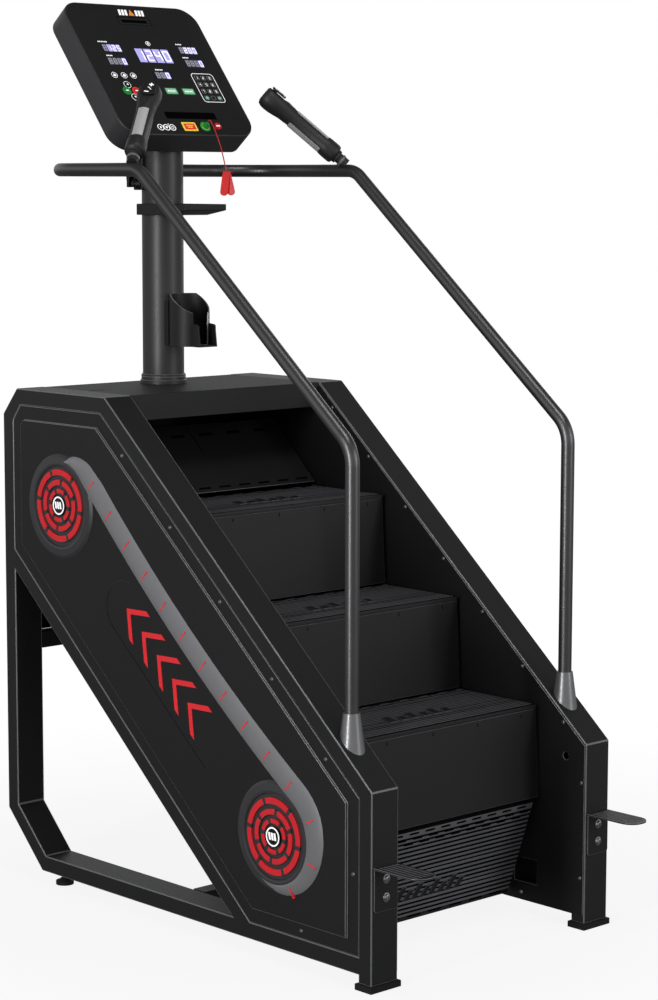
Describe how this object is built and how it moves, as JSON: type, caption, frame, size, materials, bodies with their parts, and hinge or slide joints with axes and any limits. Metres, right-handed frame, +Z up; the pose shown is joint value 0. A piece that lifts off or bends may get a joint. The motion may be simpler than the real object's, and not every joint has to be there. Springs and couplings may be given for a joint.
{
  "type": "stair climber",
  "caption": "Revolving-stair exercise machine: two welded side frames, moving steps with chain drive and brake, handrails, console post and a tilted console.",
  "frame": {"origin": "on the floor, under the middle of the bounding box", "axes": "+Z up, +Y from the side where the user gets on towards the console, +X to the user's right when facing the console"},
  "size_m": [0.72, 1.343, 1.9627],
  "materials": {
    "side_frame_left": "satin black powder coat",
    "side_frame_right": "satin black powder coat",
    "front_foot_pads": "matt black",
    "cross_members": "satin black powder coat",
    "side_cover_left": "satin black powder coat with printed grey band and red marks",
    "side_cover_right": "satin black powder coat with printed grey band and red marks",
    "vent_grilles": "dark grey with red rings",
    "vent_caps": "gloss black with a white ring",
    "inner_sheet_left": "satin black powder coat",
    "inner_sheet_right": "satin black powder coat",
    "top_deck": "satin black powder coat",
    "front_fascia": "satin black powder coat",
    "rear_panel": "satin black powder coat",
    "belly_pan": "satin black powder coat",
    "panel_screws": "blackened and bright heads",
    "boarding_step_left": "satin black",
    "boarding_step_right": "satin black",
    "frame_bolts": "blackened and bright heads",
    "handrail_left": "satin black powder coat",
    "handrail_right": "satin black powder coat",
    "handrail_rear": "satin black powder coat",
    "rail_cones": "satin dark grey",
    "rail_clamp": "satin black",
    "console_post": "satin dark grey",
    "post_flange": "satin dark grey",
    "cup_holder": "satin black",
    "phone_tray": "satin black",
    "console_bezel": "fine-grained black",
    "console_shell": "fine-grained black",
    "console_board": "green circuit board",
    "display_windows": "smoked window with pale digits",
    "console_mount": "satin black",
    "grip_left": "matt moulded grip",
    "grip_right": "matt moulded grip",
    "grip_sensors": "brushed contact plate",
    "bearing_blocks": "cast",
    "step_chains": "oiled roller chain",
    "brake_housing": "machined",
    "drive_belt": "ribbed belt",
    "tread_upper": "black coated aluminium",
    "tread_middle": "black coated aluminium",
    "tread_lower": "black coated aluminium",
    "step_risers": "black coated aluminium",
    "turning_tread": "black coated aluminium",
    "lower_shaft": "turned steel",
    "upper_shaft": "turned steel",
    "return_steps": "black coated aluminium",
    "brake_rotor": "turned steel",
    "stop_button": "red",
    "key_up": "dark key with red arrow",
    "key_down": "dark key with red arrow",
    "key_start": "green key",
    "key_pause": "red key",
    "rear_foot_left": "black foot on a steel stud",
    "rear_foot_right": "black foot on a steel stud",
    "rocker_left": "black with pale symbols",
    "rocker_right": "black with pale symbols",
    "safety_key": "red",
    "safety_cord": "red braided",
    "cord_clip": "red"
  },
  "bodies": {
    "root": {"side_frame_left": "side_frame_left", "side_frame_right": "side_frame_right", "front_foot_pads": "front_foot_pads", "cross_members": "cross_members", "side_cover_left": "side_cover_left", "side_cover_right": "side_cover_right", "vent_grilles": "vent_grilles", "vent_caps": "vent_caps", "inner_sheet_left": "inner_sheet_left", "inner_sheet_right": "inner_sheet_right", "top_deck": "top_deck", "front_fascia": "front_fascia", "rear_panel": "rear_panel", "belly_pan": "belly_pan", "panel_screws": "panel_screws", "boarding_step_left": "boarding_step_left", "boarding_step_right": "boarding_step_right", "frame_bolts": "frame_bolts", "handrail_left": "handrail_left", "handrail_right": "handrail_right", "handrail_rear": "handrail_rear", "rail_cones": "rail_cones", "rail_clamp": "rail_clamp", "console_post": "console_post", "post_flange": "post_flange", "cup_holder": "cup_holder", "phone_tray": "phone_tray", "console_bezel": "console_bezel", "console_shell": "console_shell", "console_board": "console_board", "display_windows": "display_windows", "console_mount": "console_mount", "grip_left": "grip_left", "grip_right": "grip_right", "grip_sensors": "grip_sensors", "bearing_blocks": "bearing_blocks", "step_chains": "step_chains", "brake_housing": "brake_housing", "drive_belt": "drive_belt"},
    "stair_run": {"tread_upper": "tread_upper", "tread_middle": "tread_middle", "tread_lower": "tread_lower", "step_risers": "step_risers"},
    "turning_tread": {"turning_tread": "turning_tread"},
    "lower_shaft": {"lower_shaft": "lower_shaft"},
    "upper_shaft": {"upper_shaft": "upper_shaft"},
    "return_run": {"return_steps": "return_steps"},
    "brake_rotor": {"brake_rotor": "brake_rotor"},
    "stop_button": {"stop_button": "stop_button"},
    "key_up": {"key_up": "key_up"},
    "key_down": {"key_down": "key_down"},
    "key_start": {"key_start": "key_start"},
    "key_pause": {"key_pause": "key_pause"},
    "rear_foot_left": {"rear_foot_left": "rear_foot_left"},
    "rear_foot_right": {"rear_foot_right": "rear_foot_right"},
    "rocker_left": {"rocker_left": "rocker_left"},
    "rocker_right": {"rocker_right": "rocker_right"},
    "safety_key": {"safety_key": "safety_key", "safety_cord": "safety_cord", "cord_clip": "cord_clip"}
  },
  "joints": [
    {"name": "stair_slide", "type": "slide", "parent": "root", "child": "stair_run", "axis": [0, -0.7565, -0.6539], "range_m": [0, 0.06]},
    {"name": "turning_hinge", "type": "hinge", "parent": "stair_run", "child": "turning_tread", "pos_m": [0, -0.4155, 0.262], "axis": [1, 0, 0], "range_deg": [0, 20]},
    {"name": "lower_shaft_turn", "type": "hinge", "parent": "root", "child": "lower_shaft", "pos_m": [0, -0.275, 0.262], "axis": [1, 0, 0], "range_deg": [0, 37]},
    {"name": "upper_shaft_turn", "type": "hinge", "parent": "root", "child": "upper_shaft", "pos_m": [0, 0.42253, 0.86494], "axis": [1, 0, 0], "range_deg": [0, 37]},
    {"name": "return_slide", "type": "slide", "parent": "root", "child": "return_run", "axis": [0, 0.7565, 0.6539], "range_m": [0, 0.06]},
    {"name": "brake_turn", "type": "hinge", "parent": "root", "child": "brake_rotor", "pos_m": [0, 0.01248, 0.5105], "axis": [1, 0, 0], "range_deg": [0, 118]},
    {"name": "stop_press", "type": "slide", "parent": "root", "child": "stop_button", "axis": [0, 0.7815, -0.6239], "range_m": [0, 0.003], "stiffness_N_per_m": 400, "springref_m": -0.001},
    {"name": "key_up_press", "type": "slide", "parent": "root", "child": "key_up", "axis": [0, 0.7815, -0.6239], "range_m": [0, 0.001], "stiffness_N_per_m": 600, "springref_m": -0.0005},
    {"name": "key_down_press", "type": "slide", "parent": "root", "child": "key_down", "axis": [0, 0.7815, -0.6239], "range_m": [0, 0.001], "stiffness_N_per_m": 600, "springref_m": -0.0005},
    {"name": "key_start_press", "type": "slide", "parent": "root", "child": "key_start", "axis": [0, 0.7815, -0.6239], "range_m": [0, 0.001], "stiffness_N_per_m": 600, "springref_m": -0.0005},
    {"name": "key_pause_press", "type": "slide", "parent": "root", "child": "key_pause", "axis": [0, 0.7815, -0.6239], "range_m": [0, 0.001], "stiffness_N_per_m": 600, "springref_m": -0.0005},
    {"name": "rear_foot_left_screw", "type": "slide", "parent": "root", "child": "rear_foot_left", "axis": [0, 0, -1], "range_m": [0, 0.012]},
    {"name": "rear_foot_right_screw", "type": "slide", "parent": "root", "child": "rear_foot_right", "axis": [0, 0, -1], "range_m": [0, 0.012]},
    {"name": "rocker_left_tilt", "type": "hinge", "parent": "root", "child": "rocker_left", "pos_m": [-0.18002, 0.31996, 1.76601], "axis": [-0.686, 0.7186, 0.114], "range_deg": [-4, 4], "stiffness_Nm_per_rad": 0.5},
    {"name": "rocker_right_tilt", "type": "hinge", "parent": "root", "child": "rocker_right", "pos_m": [0.18002, 0.31996, 1.76601], "axis": [-0.686, -0.7186, -0.114], "range_deg": [-4, 4], "stiffness_Nm_per_rad": 0.5},
    {"name": "key_pull", "type": "slide", "parent": "root", "child": "safety_key", "axis": [0, -0.7815, 0.6239], "range_m": [0, 0.025]}
  ],
  "couplings": [
    {"joint": "turning_hinge", "follows": "stair_slide", "rad_per_m": 5.8},
    {"joint": "lower_shaft_turn", "follows": "stair_slide", "rad_per_m": 10.526},
    {"joint": "upper_shaft_turn", "follows": "stair_slide", "rad_per_m": 10.526},
    {"joint": "return_slide", "follows": "stair_slide", "ratio": 1},
    {"joint": "brake_turn", "follows": "stair_slide", "rad_per_m": 33.684}
  ]
}
